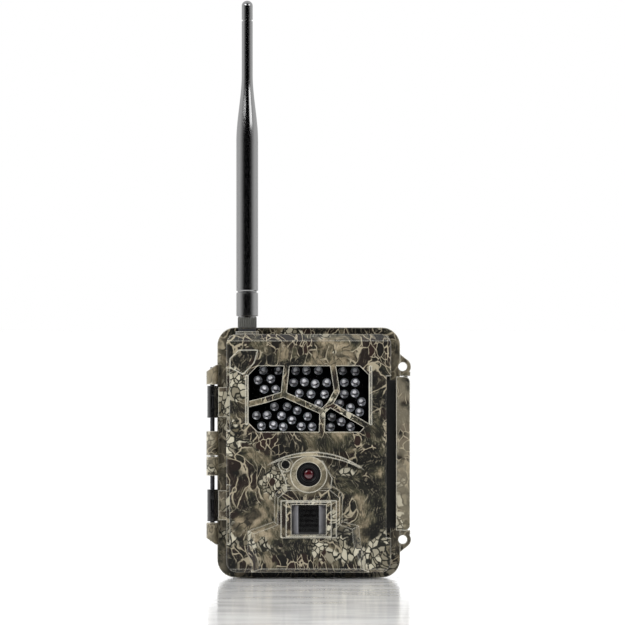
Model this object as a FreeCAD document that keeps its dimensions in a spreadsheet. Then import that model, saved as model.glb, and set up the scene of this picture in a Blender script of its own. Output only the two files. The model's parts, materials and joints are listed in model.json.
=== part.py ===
"""Trail camera: a hinged two-part case with a screw-on antenna.

Frame: +X to the right as the lens side is faced, -Y is the lens side, +Z up.
The origin is the centre of the bottom. All sizes are in millimetres.
"""
import FreeCAD, Part
import math
import os
import re
import Sketcher
from FreeCAD import Vector

doc = FreeCAD.newDocument("trail_camera")

# Driving dimensions. A name ending in _y, _z or _x is a position, the others are sizes.
SIZES = {
    # rear housing
    "flange_width": 106, "case_height": 145, "flange_corner": 10.5, "joint_y": -8,
    "flange_thick": 5, "shell_width": 95, "shell_top_z": 141, "back_y": 26, "shell_corner": 8,
    "cavity_width": 85, "cavity_low_z": 8.5, "cavity_high_z": 136.5, "wall": 3,
    "gasket_wide": 1.6, "gasket_half_width": 45.8, "gasket_low_z": 5, "gasket_high_z": 140,
    "tripod_y": 12, "jack_x": -37, "jack_y": 10, "flap_hinge_y": 5.1, "flap_hinge_z": 1.3,
    # front cover
    "cover_width": 95.2, "cover_low_z": 3.5, "cover_high_z": 141.2, "cover_back_y": -8.2,
    "face_y": -31, "front_wall": 2.5, "cover_corner": 6, "cover_edge": 1, "mound_y": -34.5,
    "top_bevel": 4, "boss_radius": 3.1, "boss_x": 38.6, "plate_y": -8.6, "plate_thick": 1.9,
    # hinge
    "hinge_x": -55.8, "hinge_y": -11.4, "pin_radius": 1.3, "barrel_radius": 3.05,
    "knuckle_radius": 3.5, "running_gap": 0.06,
    # latch
    "latch_x": 56.2, "latch_y": -4.5, "latch_low_z": 27.7, "latch_high_z": 116.6,
    "latch_pin_radius": 1.2, "latch_barrel_radius": 2.4, "latch_front_y": -25,
    "lug_x": 54.5, "lug_radius": 4.8, "lug_hole_radius": 2.5, "lug_high_z": 122.3, "lug_low_z": 22,
    # illuminator window
    "window_z": 103.75, "window_half_width": 34.7, "window_half_height": 19, "window_corner": 5.2,
    "rib_wide": 3.4, "led_radius": 2.5, "led_board_y": -19.5, "board_thick": 1.6,
    # lens and sensor windows
    "lens_z": 60.2, "lens_radius": 6.9, "ring_radius": 10.5, "eye_x": -13.3, "eye_z": 65.8,
    "eye_radius": 2.4, "pir_half_width": 10, "pir_low_z": 25.4, "pir_high_z": 42.7,
    "sensor_board_y": -17.4, "main_board_y": -14.4,
    # antenna
    "antenna_x": -35.6, "antenna_y": -20, "boss_top_z": 142.7, "collar_low_z": 144.7,
    "collar_high_z": 151.4, "jack_radius": 3.1, "whip_radius": 6.35, "whip_low_z": 165.3,
    "whip_tip_radius": 3.2, "antenna_top_z": 334.2,
    # keypad
    "keypad_z": 64, "keypad_pitch": 9.8, "button_radius": 3, "button_gap": 0.3,
    # cells
    "cell_radius": 7.1, "cell_length": 49.5, "cell_pitch": 15, "cell_y": 13,
    # tree bracket
    "bracket_y": 36.5, "rail_x": 30, "rail_wide": 7, "strap_low_z": 57, "strap_high_z": 88,
    "strap_gap": 5, "bracket_plate": 2.5,
}
sheet = doc.addObject("Spreadsheet::Sheet", "sizes")
for row, (alias, number) in enumerate(SIZES.items(), start=1):
    sheet.set(f"A{row}", alias)
    sheet.set(f"B{row}", str(number))
    sheet.setAlias(f"B{row}", alias)
doc.recompute()

SUB_PARTS = []

# Screws that hold the tree bracket, as (x, z).
BRACKET_SCREWS = [(x, z) for x in (-20, 20) for z in (36, 109)]


# ---------------------------------------------------------------- helpers
def linked(text):
    """An expression in which each size's name points at its cell."""
    return re.sub(r"[a-z_]+", lambda m: "sizes." + m[0] if m[0] in SIZES else m[0], str(text))


def value(text):
    """The present number of an expression."""
    return float(sheet.evalExpression(linked(text)))


def bind(obj, prop, text):
    obj.setExpression(prop, linked(text))


def sub_part(obj, label):
    """Names a finished piece as a sub-part."""
    obj.Label = label
    SUB_PARTS.append(obj)
    return obj


def box(name, x, y, z):
    """A block; x, y and z are (low, high) pairs of expressions."""
    obj = doc.addObject("Part::Box", name)
    for side, axis, (low, high) in zip(("Length", "Width", "Height"), "xyz", (x, y, z)):
        bind(obj, side, f"({high}) - ({low})")
        bind(obj, f"Placement.Base.{axis}", low)
    return obj


TURNS = {"x": FreeCAD.Rotation(Vector(0, 1, 0), 90), "y": FreeCAD.Rotation(Vector(1, 0, 0), -90),
         "z": FreeCAD.Rotation()}


def rod(name, axis, centre, radius, start, end):
    """A cylinder along an axis; centre holds its other two coordinates, in X, Y, Z order."""
    obj = doc.addObject("Part::Cylinder", name)
    obj.Placement = FreeCAD.Placement(Vector(), TURNS[axis])
    bind(obj, "Radius", radius)
    bind(obj, "Height", f"({end}) - ({start})")
    others = [letter for letter in "xyz" if letter != axis]
    bind(obj, f"Placement.Base.{axis}", start)
    for letter, place in zip(others, centre):
        bind(obj, f"Placement.Base.{letter}", place)
    return obj


def fuse(name, *parts):
    obj = doc.addObject("Part::MultiFuse", name)
    obj.Shapes = list(parts)
    return obj


def cut(name, base, *tools):
    obj = doc.addObject("Part::Cut", name)
    obj.Base = base
    obj.Tool = tools[0] if len(tools) == 1 else fuse(name + "_tools", *tools)
    return obj


def group(label, solids):
    """Several separate solids of one kind as one sub-part."""
    obj = doc.addObject("Part::Feature", label)
    obj.Shape = Part.makeCompound(solids)
    obj.Placement = FreeCAD.Placement()
    return sub_part(obj, label)


def moved(shape, x, y, z):
    copy = shape.copy()
    copy.translate(Vector(x, y, z))
    return copy


def body(name):
    return doc.addObject("PartDesign::Body", name)


def sketch(owner, plane, offset):
    """A sketch on one of the body's planes. XZ faces -Y, XY faces +Z and YZ faces +X."""
    sk = owner.newObject("Sketcher::SketchObject", owner.Name + "_sketch")
    origin_plane = next(f for f in owner.Origin.OriginFeatures if f.Role == plane + "_Plane")
    sk.AttachmentSupport = [(origin_plane, "")]
    sk.MapMode = "FlatFace"
    bind(sk, "AttachmentOffset.Base.z", f"-({offset})" if plane == "XZ" else offset)
    return sk


def fix_point(sk, geometry, end, x, y):
    for kind, text in (("DistanceX", x), ("DistanceY", y)):
        index = sk.addConstraint(Sketcher.Constraint(kind, -1, 1, geometry, end, value(text)))
        bind(sk, f"Constraints[{index}]", text)


def polygon(sk, points):
    corners = [Vector(value(x), value(y), 0) for x, y in points]
    first = sk.GeometryCount
    count = len(points)
    for i in range(count):
        sk.addGeometry(Part.LineSegment(corners[i], corners[(i + 1) % count]), False)
    for i in range(count):
        following = first + (i + 1) % count
        sk.addConstraint(Sketcher.Constraint("Coincident", first + i, 2, following, 1))
    for i, (x, y) in enumerate(points):
        fix_point(sk, first + i, 1, x, y)


def rectangle(sk, x_low, x_high, y_low, y_high):
    polygon(sk, [(x_low, y_low), (x_high, y_low), (x_high, y_high), (x_low, y_high)])


def circle(sk, x, y, radius):
    ring = sk.addGeometry(Part.Circle(Vector(value(x), value(y), 0), Vector(0, 0, 1), value(radius)), False)
    fix_point(sk, ring, 3, x, y)
    index = sk.addConstraint(Sketcher.Constraint("Radius", ring, value(radius)))
    bind(sk, f"Constraints[{index}]", radius)


def crescent(sk, left, top, bottom, right):
    """Two arcs over the same two ends."""
    ends = [Vector(value(x), value(y), 0) for x, y in (left, right)]
    arcs = []
    for middle in (top, bottom):
        through = Vector(value(middle[0]), value(middle[1]), 0)
        arc = Part.Arc(ends[0], through, ends[1]).toShape().Curve
        arcs.append(sk.addGeometry(Part.Arc(ends[0], through, ends[1]), False))
        index = sk.addConstraint(Sketcher.Constraint("Radius", arcs[-1], arc.Radius))
        bind(sk, f"Constraints[{index}]", arc.Radius)
    for end in (1, 2):
        sk.addConstraint(Sketcher.Constraint("Coincident", arcs[0], end, arcs[1], end))
        starts_left = (sk.getPoint(arcs[0], end) - ends[0]).Length < 0.01
        fix_point(sk, arcs[0], end, *(left if starts_left else right))


def pad(owner, sk, length):
    """Adds material on the side that the sketch faces."""
    feature = owner.newObject("PartDesign::Pad", owner.Name + "_pad")
    feature.Profile = sk
    bind(feature, "Length", length)
    doc.recompute()
    return feature


def pocket(owner, sk, length, both_ways=False):
    """Removes material behind the sketch, and checks that it does."""
    before = owner.Tip.Shape.Volume
    feature = owner.newObject("PartDesign::Pocket", owner.Name + "_pocket")
    feature.Profile = sk
    feature.Midplane = both_ways
    bind(feature, "Length", length)
    doc.recompute()
    if feature.Shape.Volume >= before:
        raise RuntimeError(owner.Name + ": a pocket cuts nothing")
    return feature


def dress(owner, kind, size, test):
    """Fillets or chamfers the edges of the tip that meet a test."""
    tip = owner.Tip
    names = [f"Edge{i}" for i, edge in enumerate(tip.Shape.Edges, start=1) if test(edge)]
    feature = owner.newObject("PartDesign::" + kind, owner.Name + "_" + kind.lower())
    feature.Base = (tip, names)
    bind(feature, "Radius" if kind == "Fillet" else "Size", size)
    doc.recompute()
    return feature


def along(axis, length):
    """A test for straight edges along an axis that are about as long as stated."""
    def test(edge):
        span = edge.BoundBox
        lengths = {"x": span.XLength, "y": span.YLength, "z": span.ZLength}
        others = sum(size for letter, size in lengths.items() if letter != axis)
        return others < 1e-4 and abs(lengths[axis] - length) < 0.05
    return test


# ---------------------------------------------------------------- rear housing
def knuckle(owner, low_z, high_z):
    """A hinge knuckle of the flange: round in front, square where it joins the flange."""
    length = f"({high_z}) - ({low_z})"
    block = sketch(owner, "XY", low_z)
    edge = "hinge_x + knuckle_radius"
    rectangle(block, "hinge_x - knuckle_radius", edge, "hinge_y", "joint_y + flange_thick")
    pad(owner, block, length)
    round_front = sketch(owner, "XY", low_z)
    circle(round_front, "hinge_x", "hinge_y", "knuckle_radius")
    pad(owner, round_front, length)


def padlock_lug(owner, centre_z, away):
    """A flange lug with a sloping shoulder; away is +1 above the centre and -1 below it."""
    web = sketch(owner, "XZ", "joint_y + flange_thick")
    polygon(web, [("flange_width / 2 - 3", f"{centre_z} + {away} * 8.2"),
                  ("flange_width / 2", f"{centre_z} + {away} * 7.3"),
                  ("lug_x + 3.4", f"{centre_z} + {away} * 3.4"),
                  ("lug_x + 3.4", centre_z),
                  ("lug_x", f"{centre_z} - {away} * lug_radius"),
                  ("flange_width / 2 - 3", f"{centre_z} - {away} * lug_radius")])
    pad(owner, web, "flange_thick")
    eye = sketch(owner, "XZ", "joint_y + flange_thick")
    circle(eye, "lug_x", centre_z, "lug_radius")
    pad(owner, eye, "flange_thick")


def latch_ear(owner, low_z):
    ear = sketch(owner, "XY", low_z)
    rectangle(ear, "flange_width / 2 - 1", "latch_x + 2.7", "joint_y", "latch_y + 2.9")
    pad(owner, ear, "2.6")


def rear_moulding():
    rear = body("rear_moulding")
    shell = sketch(rear, "XZ", "back_y")
    rectangle(shell, "-shell_width / 2", "shell_width / 2", "0", "shell_top_z")
    pad(rear, shell, "back_y - joint_y")
    dress(rear, "Fillet", "shell_corner", along("y", value("back_y - joint_y")))
    dress(rear, "Fillet", "3.5", lambda e: e.BoundBox.YMin > value("back_y") - 1e-4)
    flange = sketch(rear, "XZ", "joint_y + flange_thick")
    rectangle(flange, "-flange_width / 2", "flange_width / 2", "0", "case_height")
    pad(rear, flange, "flange_thick")
    dress(rear, "Fillet", "flange_corner", along("y", value("flange_thick")))

    knuckle(rear, "19.2", "31.9")
    knuckle(rear, "59.2", "70.2")
    knuckle(rear, "70.8", "84.9")
    knuckle(rear, "112", "123.3")
    slopes = sketch(rear, "XZ", "-16")
    polygon(slopes, [("-60", "123.4"), ("-60", "119"), ("-53.6", "123.4")])
    polygon(slopes, [("-60", "19.1"), ("-53.6", "19.1"), ("-60", "23.5")])
    pocket(rear, slopes, "14")
    pin_bore = sketch(rear, "XY", "122")
    circle(pin_bore, "hinge_x", "hinge_y", "pin_radius")
    pocket(rear, pin_bore, "101")

    padlock_lug(rear, "lug_high_z", 1)
    padlock_lug(rear, "lug_low_z", -1)
    latch_ear(rear, "latch_high_z + 0.3")
    latch_ear(rear, "latch_low_z - 2.9")
    latch_bore = sketch(rear, "XY", "latch_high_z + 2.2")
    circle(latch_bore, "latch_x", "latch_y", "latch_pin_radius")
    pocket(rear, latch_bore, "latch_high_z - latch_low_z + 4.4")
    holes = sketch(rear, "XZ", "joint_y")
    circle(holes, "lug_x", "lug_high_z", "lug_hole_radius")
    circle(holes, "lug_x", "lug_low_z", "lug_hole_radius")
    pocket(rear, holes, "flange_thick + 1")

    cavity = sketch(rear, "XZ", "joint_y")
    rectangle(cavity, "-cavity_width / 2", "cavity_width / 2", "cavity_low_z", "cavity_high_z")
    pocket(rear, cavity, "back_y - wall - joint_y")
    groove = sketch(rear, "XZ", "joint_y")
    gasket_outline(groove)
    pocket(rear, groove, "gasket_wide")

    insert_hole = sketch(rear, "XY", "cavity_low_z")
    circle(insert_hole, "0", "tripod_y", "4.2")
    pocket(rear, insert_hole, "cavity_low_z")
    jack_hole = sketch(rear, "XY", "cavity_low_z")
    circle(jack_hole, "jack_x", "jack_y", "3.4")
    pocket(rear, jack_hole, "cavity_low_z")
    port_recess = sketch(rear, "XY", "2.6")
    rectangle(port_recess, "-44.2", "-30.8", "3.8", "19.2")
    pocket(rear, port_recess, "2.6")
    screw_holes = sketch(rear, "XZ", "back_y - wall")
    for x, z in BRACKET_SCREWS:
        circle(screw_holes, x, z, "1.3")
    pocket(rear, screw_holes, "wall")
    return rear


def make_rear_housing():
    """The rear moulding in three pieces: the shell, its base, and the lugs on the latch side."""
    whole = rear_moulding()
    base_zone = box("base_zone", ("-flange_width / 2", "flange_width / 2"),
                    ("joint_y + flange_thick", "back_y + 1"), ("-1", "cavity_low_z"))
    lug_depth = ("joint_y - 1", "latch_y + 4")
    lug_width = ("flange_width / 2", "flange_width / 2 + 8")
    lug_zone = fuse("lug_zone", box("high_lug_zone", lug_width, lug_depth, ("116.8", "132")),
                    box("low_lug_zone", lug_width, lug_depth, ("12", "27.5")))
    sub_part(cut("rear_shell", whole, base_zone, lug_zone), "rear_housing")
    for label, zone in (("rear_base", base_zone), ("side_lugs", lug_zone)):
        shared = doc.addObject("Part::MultiCommon", label + "_piece")
        shared.Shapes = [whole, zone]
        sub_part(shared, label)


def gasket_outline(sk):
    rectangle(sk, "-gasket_half_width", "gasket_half_width", "gasket_low_z", "gasket_high_z")
    rectangle(sk, "gasket_wide - gasket_half_width", "gasket_half_width - gasket_wide",
              "gasket_low_z + gasket_wide", "gasket_high_z - gasket_wide")


def make_gasket():
    gasket = body("door_gasket")
    ring = sketch(gasket, "XZ", "joint_y + gasket_wide")
    gasket_outline(ring)
    pad(gasket, ring, "gasket_wide + 0.1")
    return sub_part(gasket, "door_gasket")


def make_rear_fittings():
    pin = rod("pin_shank", "z", ("hinge_x", "hinge_y"), "pin_radius", "21", "122")
    latch_pin = rod("latch_pin_shank", "z", ("latch_x", "latch_y"), "latch_pin_radius",
                    "latch_low_z - 2.2", "latch_high_z + 2.2")
    sub_part(fuse("pins", pin, latch_pin), "hinge_pins")

    socket = ("0", "tripod_y")
    shank = rod("insert_shank", "z", socket, "4.2", "0.4", "cavity_low_z")
    flange = rod("insert_flange", "z", socket, "5.4", "cavity_low_z", "cavity_low_z + 1.4")
    bore = rod("insert_bore", "z", socket, "2.6", "0", "9")
    sub_part(cut("insert_bored", fuse("insert_outer", shank, flange), bore), "tripod_insert")

    inlet = ("jack_x", "jack_y")
    block = box("jack_block", ("jack_x - 4.4", "jack_x + 4.4"), ("jack_y - 4.6", "jack_y + 4.6"),
                ("cavity_low_z", "22"))
    nose = rod("jack_nose", "z", inlet, "3.4", "2.8", "cavity_low_z")
    mouth = rod("jack_mouth", "z", inlet, "2.8", "2", "6.4")
    chamber = box("jack_chamber", ("jack_x - 2.85", "jack_x + 2.85"), ("jack_y - 2.85", "jack_y + 2.85"),
                  ("6.4", "13"))
    jack = cut("jack_bored", fuse("jack_outer", block, nose), mouth, chamber)
    sub_part(fuse("jack_with_pin", jack, rod("jack_pin", "z", inlet, "1.05", "7.4", "14")), "dc_jack")

    edge = rod("flap_rolled_edge", "x", ("flap_hinge_y", "flap_hinge_z"), "1", "-44", "-31")
    flap = box("flap", ("-44", "-31"), ("flap_hinge_y", "18.8"), ("flap_hinge_z - 1", "flap_hinge_z + 1"))
    notch = box("flap_finger_notch", ("-39.5", "-35.5"), ("17.8", "19.2"), ("0", "1.2"))
    sub_part(cut("flap_notched", fuse("flap_block", flap, edge), notch), "dc_port_cover")

    board = box("power_board_blank", ("33.2", "33.2 + board_thick"), ("2", "20"), ("20", "120"))
    header = box("power_header", ("34.8", "39"), ("4", "10"), ("94", "110"))
    sub_part(fuse("power_board_header", board, header), "power_board")


def make_battery_bay():
    outer = box("tray_block", ("-32", "32"), ("cell_y - 8", "22.8"), ("10", "134.5"))
    wells = [box(f"tray_well_{i}", ("-30.4", "30.4"), ("cell_y - 8.1", "21.4"), span)
             for i, span in enumerate((("12", "71.2"), ("73", "132.6")))]
    tray = cut("tray_hollow", outer, *wells)
    fins = [box(f"tray_fin_{i}", (f"{x} - 0.25", f"{x} + 0.25"), ("cell_y + 4.5", "21.5"), ("11", "133"))
            for i, x in enumerate((-15, 0, 15))]
    sub_part(fuse("tray_with_fins", tray, *fins), "battery_tray")

    length = value("cell_length")
    can = Part.makeCylinder(value("cell_radius"), length - 1)
    nub = Part.makeCylinder(2.7, 1, Vector(0, 0, length - 1))
    cell = can.fuse(nub)
    coil = Part.makeTorus(3.6, 0.4)
    for turn, radius in enumerate((3.1, 2.6, 2.1), start=1):
        coil = coil.fuse(moved(Part.makeTorus(radius, 0.4), 0, 0, 0.55 * turn))
    plate = Part.makeBox(9, 9, 0.5, Vector(-4.5, -4.5, 0))
    upside_down = cell.copy()
    upside_down.rotate(Vector(), Vector(1, 0, 0), 180)
    upside_down.translate(Vector(0, 0, length))
    well, spring_room = 59.4, 4.6
    cells, springs, plates = [], [], []
    for row, base in enumerate((12, 73)):
        for column in range(4):
            x = (column - 1.5) * value("cell_pitch")
            y = value("cell_y")
            turned = cell if (row + column) % 2 == 0 else upside_down
            cells.append(moved(turned, x, y, base + spring_room))
            plates.append(moved(plate, x, y, base))
            plates.append(moved(plate, x, y, base + well - 0.7))
            springs.append(moved(coil, x, y, base + 0.9))
    group("aa_cells", cells)
    group("battery_springs", springs)
    group("battery_contacts", plates)


def make_tree_bracket():
    bracket = body("tree_bracket")
    plate = sketch(bracket, "XZ", "back_y + bracket_plate")
    rectangle(plate, "-34", "34", "22", "123")
    pad(bracket, plate, "bracket_plate")
    dress(bracket, "Fillet", "6", along("y", value("bracket_plate")))
    teeth = 19
    pitch = 5
    for side in (-1, 1):
        rail = sketch(bracket, "YZ", f"{side} * rail_x - rail_wide / 2")
        edge = [("back_y + 1", "24"), ("bracket_y - 1.8", "24")]
        for i in range(teeth):
            low = 25 + i * pitch
            edge += [("bracket_y", f"{low + 1.5}"), ("bracket_y - 1.8", f"{low + pitch}")]
        edge += [("back_y + 1", f"{25 + teeth * pitch}")]
        polygon(rail, edge)
        pad(bracket, rail, "rail_wide")
    slot = sketch(bracket, "YZ", "40")
    inner_y = "back_y + bracket_plate"
    rectangle(slot, inner_y, f"{inner_y} + strap_gap", "strap_low_z", "strap_high_z")
    pocket(bracket, slot, "80")
    holes = sketch(bracket, "XZ", "back_y")
    for x, z in BRACKET_SCREWS:
        circle(holes, x, z, "1.7")
    pocket(bracket, holes, "bracket_plate + 0.1")
    sub_part(bracket, "tree_bracket")

    head = Part.makeCylinder(3, 2, Vector(0, value("back_y + bracket_plate"), 0), Vector(0, 1, 0))
    drive = Part.makeCylinder(1.2, 1.2, Vector(0, value("back_y + 3.4"), 0), Vector(0, 1, 0))
    shank = Part.makeCylinder(1.3, 5.4, Vector(0, value("back_y - 2.9"), 0), Vector(0, 1, 0))
    screw = head.cut(drive).fuse(shank)
    group("bracket_screws", [moved(screw, x, 0, z) for x, z in BRACKET_SCREWS])


# ---------------------------------------------------------------- front cover
# Centre lines of the ribs across the window, from the window's centre.
NODE_A, NODE_B, NODE_C, NODE_D = (-14.5, 2.7), (7.9, -7.4), (12.2, -3.1), (16.3, 4.6)
RIBS = [((-12.6, 20), NODE_A), ((-35.5, -3.2), (-25.3, -0.7)), ((-25.3, -0.7), NODE_A),
        (NODE_A, NODE_B), (NODE_B, (7.6, -20)), (NODE_B, NODE_C), (NODE_C, NODE_D),
        (NODE_D, (13.9, 20)), (NODE_C, (34.5, -16))]


def window_outline(sk, margin="0"):
    half_w = f"window_half_width + {margin}"
    half_h = f"window_half_height + {margin}"
    corners = [(1, 1, 0), (1, 0, 1), (-1, 0, 1), (-1, 1, 0)]
    points = []
    for side_x, near_x, near_z in corners:
        points.append((f"{side_x} * ({half_w} - {near_z} * window_corner)",
                       f"window_z - ({half_h} - {near_x} * window_corner)"))
    for side_x, near_x, near_z in reversed(corners):
        points.append((f"{side_x} * ({half_w} - {near_z} * window_corner)",
                       f"window_z + ({half_h} - {near_x} * window_corner)"))
    polygon(sk, points)


def make_ribs():
    ribs = []
    for i, (start, end) in enumerate(RIBS):
        run = math.dist(start, end)
        rise = math.degrees(math.atan2(end[1] - start[1], end[0] - start[0]))
        rib = doc.addObject("Part::Box", f"rib_{i}")
        bind(rib, "Length", run + 1.2)
        bind(rib, "Width", "front_wall")
        bind(rib, "Height", "rib_wide")
        turn = FreeCAD.Rotation(Vector(0, 1, 0), -rise)
        corner = turn.multVec(Vector(-0.6, 0, -value("rib_wide") / 2))
        rib.Placement = FreeCAD.Placement(Vector(), turn)
        bind(rib, "Placement.Base.x", start[0] + corner.x)
        bind(rib, "Placement.Base.y", "face_y")
        bind(rib, "Placement.Base.z", f"window_z + {start[1] + corner.z}")
        ribs.append(rib)
    return ribs


def loft(owner, sections):
    """A raised form between outlines, each (y, points)."""
    sketches = []
    for y, points in sections:
        outline = sketch(owner, "XZ", y)
        polygon(outline, points)
        sketches.append(outline)
    feature = owner.newObject("PartDesign::AdditiveLoft", owner.Name + "_loft")
    feature.Profile = sketches[0]
    feature.Sections = sketches[1:]
    feature.Ruled = True
    doc.recompute()


# Screw bosses of the inner plate; the top pair stands clear of the antenna connector.
BOSSES = [("-boss_x", 12.4), ("boss_x", 12.4), ("-boss_x", 72), ("boss_x", 72),
          ("-26", 132.6), ("26", 132.6)]

MOUND_FOOT = [(-33, 3.5), (-36, 16), (-35.5, 27.5), (-20, 33), (-19.6, 49), (-14, 54),
              (14, 54), (19.6, 49), (19.6, 33), (29.5, 30.5), (30.5, 20), (35, 3.5)]
MOUND_TOP = [(-27.8, 5.5), (-31.2, 17), (-31.4, 26), (-17.9, 31), (-17.9, 46.5), (-12.5, 51),
             (12.5, 51), (17.9, 46.5), (17.9, 31.2), (25.2, 28.6), (25.8, 21), (30.8, 5.5)]


def on_face(edge):
    """Whether an edge lies in the plane of the cover's face."""
    return edge.BoundBox.YMax < value("face_y") + 1e-4


def make_cover_body():
    cover = body("cover_body")
    block = sketch(cover, "XZ", "cover_back_y")
    rectangle(block, "-cover_width / 2", "cover_width / 2", "cover_low_z", "cover_high_z")
    pad(cover, block, "cover_back_y - face_y")
    dress(cover, "Fillet", "cover_corner", along("y", value("cover_back_y - face_y")))
    dress(cover, "Fillet", "cover_edge", on_face)
    bevel = sketch(cover, "YZ", "0")
    polygon(bevel, [("face_y - 0.1", "cover_high_z - top_bevel"), ("face_y - 0.1", "cover_high_z + 0.1"),
                    ("face_y + top_bevel", "cover_high_z + 0.1")])
    pocket(cover, bevel, "cover_width + 2", both_ways=True)
    foot_bevel = sketch(cover, "YZ", "0")
    polygon(foot_bevel, [("face_y - 0.1", "cover_low_z + 2"), ("face_y + 2", "cover_low_z - 0.1"),
                         ("face_y - 0.1", "cover_low_z - 0.1")])
    pocket(cover, foot_bevel, "cover_width + 2", both_ways=True)

    loft(cover, [("face_y + 0.5", MOUND_FOOT), ("mound_y", MOUND_TOP)])
    hood = sketch(cover, "XZ", "face_y")
    rectangle(hood, "-16", "16", "23.6", "45")
    pad(cover, hood, "4.5")
    inner_hood = sketch(cover, "XZ", "face_y")
    rectangle(inner_hood, "-13", "13", "24.2", "44.2")
    pad(cover, inner_hood, "5.5")
    plateau = sketch(cover, "XZ", "face_y")
    polygon(plateau, [(-17.8, 66), (-14.5, 70.2), (-6, 71), (8, 68), (13.5, 58), (12.5, 50),
                      (-12.5, 50), (-13.5, 57)])
    pad(cover, plateau, "2")
    brow = sketch(cover, "XZ", "face_y + 1")
    crescent(brow, (-24, 65.4), (2, 73), (2, 70.8), (32, 62.8))
    pad(cover, brow, "5.6")
    ring = sketch(cover, "XZ", "face_y")
    circle(ring, "0", "lens_z", "ring_radius")
    pad(cover, ring, "4.6")
    eye_boss = sketch(cover, "XZ", "face_y")
    circle(eye_boss, "eye_x", "eye_z", "eye_radius + 1.7")
    pad(cover, eye_boss, "2.8")
    for low_x, high_x, top_z in ((-36.4, -35.2, 117.5), (35.2, 36.4, 122.7)):
        lip = sketch(cover, "XZ", "face_y")
        rectangle(lip, low_x, high_x, "89", top_z)
        pad(cover, lip, "0.8")
    step = sketch(cover, "XZ", "face_y")
    polygon(step, [(-45.5, 122), (-45.5, 127), (-40.2, 132), (-29.5, 132), (-31.6, 124.5), (-38, 118)])
    pad(cover, step, "0.7")

    antenna_boss = sketch(cover, "XY", "cavity_high_z - 2")
    circle(antenna_boss, "antenna_x", "antenna_y", "6.8")
    pad(cover, antenna_boss, "boss_top_z - cavity_high_z + 2")
    for low_z in (93.2, 33.4):
        arm = sketch(cover, "XZ", "cover_back_y - 0.2")
        rectangle(arm, "-52.4", "-45", low_z, f"{low_z} + 17.2")
        pad(cover, arm, "5.4")

    window = sketch(cover, "XZ", "face_y - 1")
    window_outline(window)
    pocket(cover, window, "front_wall + 2")
    cavity = sketch(cover, "XZ", "face_y + front_wall")
    rectangle(cavity, "-42", "42", "8", "137")
    pocket(cover, cavity, "cover_back_y - face_y - front_wall")
    sides = sketch(cover, "XZ", "face_y")
    rectangle(sides, "-48", "-45.7", "85.5", "121.5")
    rectangle(sides, "-48", "-45.7", "20", "54")
    rectangle(sides, "45", "48", "23.5", "117")
    pocket(cover, sides, "17")
    for length in (36, 34, 93.5):
        upright = along("z", length)
        dress(cover, "Fillet", "cover_edge",
              lambda e: upright(e) and on_face(e) and abs(e.BoundBox.XMin) > 44)
    slots = sketch(cover, "XZ", "-12.3")
    for low_z in (95, 35.2):
        rectangle(slots, "-52.5", "-47.2", low_z, f"{low_z} + 13.6")
    pocket(cover, slots, "2.5")
    openings = sketch(cover, "XZ", "face_y - 6")
    circle(openings, "0", "lens_z", "lens_radius + 0.15")
    circle(openings, "eye_x", "eye_z", "eye_radius")
    rectangle(openings, "-pir_half_width", "pir_half_width", "pir_low_z", "pir_high_z")
    pocket(cover, openings, "6 + front_wall")
    jack_bore = sketch(cover, "XY", "boss_top_z")
    circle(jack_bore, "antenna_x", "antenna_y", "jack_radius + 0.1")
    pocket(cover, jack_bore, "9")

    bosses = sketch(cover, "XZ", "plate_y - plate_thick")
    boss_holes = sketch(cover, "XZ", "-20")
    for x, z in BOSSES:
        circle(bosses, x, z, "boss_radius")
        circle(boss_holes, x, z, "1.1")
    pad(cover, bosses, "plate_y - plate_thick - face_y - front_wall + 0.5")
    pocket(cover, boss_holes, "10")
    return cover


def make_front_cover():
    ribbed = fuse("cover_ribbed", make_cover_body(), *make_ribs())
    ribbed.Refine = True
    sub_part(ribbed, "front_cover")


def make_hinge_barrels():
    for name, low, tab_low in (("upper", 92.7, 95), ("lower", 32.7, 35.2)):
        shank = rod(f"barrel_{name}", "z", ("hinge_x", "hinge_y"), "barrel_radius", low, low + 18.5)
        tab = box(f"barrel_tab_{name}", ("hinge_x", "-47.2"), ("-12.3", "-9.8"),
                  (tab_low, f"{tab_low} + 13.6"))
        bore = rod(f"barrel_bore_{name}", "z", ("hinge_x", "hinge_y"), "pin_radius + running_gap",
                   low - 1, low + 20)
        slot = box(f"barrel_slot_{name}", ("hinge_x - 0.9", "hinge_x + 0.9"), ("hinge_y - 4", "hinge_y"),
                   (low + 5.6, low + 12.8))
        solid = fuse(f"barrel_with_tab_{name}", shank, tab)
        sub_part(cut(f"barrel_bored_{name}", solid, bore, slot), f"hinge_barrel_{name}")


def make_latch():
    latch = body("latch")
    arm = sketch(latch, "XZ", "latch_y")
    rectangle(arm, "latch_x - 1", "latch_x + latch_barrel_radius", "latch_low_z", "latch_high_z")
    pad(latch, arm, "latch_y - latch_front_y")
    dress(latch, "Fillet", "3", lambda e: e.BoundBox.XMin > 58 and e.BoundBox.YLength > 15
          and e.BoundBox.ZLength < 1)
    nose = sketch(latch, "XZ", "latch_front_y + 3.6")
    rectangle(nose, "50.6", "56.6", "latch_low_z", "latch_high_z")
    pad(latch, nose, "3.6")
    barrel = sketch(latch, "XY", "latch_low_z + 2")
    circle(barrel, "latch_x", "latch_y", "latch_barrel_radius")
    pad(latch, barrel, "latch_high_z - latch_low_z - 4")
    bore = sketch(latch, "XY", "latch_high_z")
    circle(bore, "latch_x", "latch_y", "latch_pin_radius + running_gap")
    pocket(latch, bore, "latch_high_z - latch_low_z")
    sub_part(latch, "latch")
    catch = box("catch_strip", ("45", "50.2"), ("-19.5", "-14.2"), ("29", "114.5"))
    sub_part(catch, "latch_catch")


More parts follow.
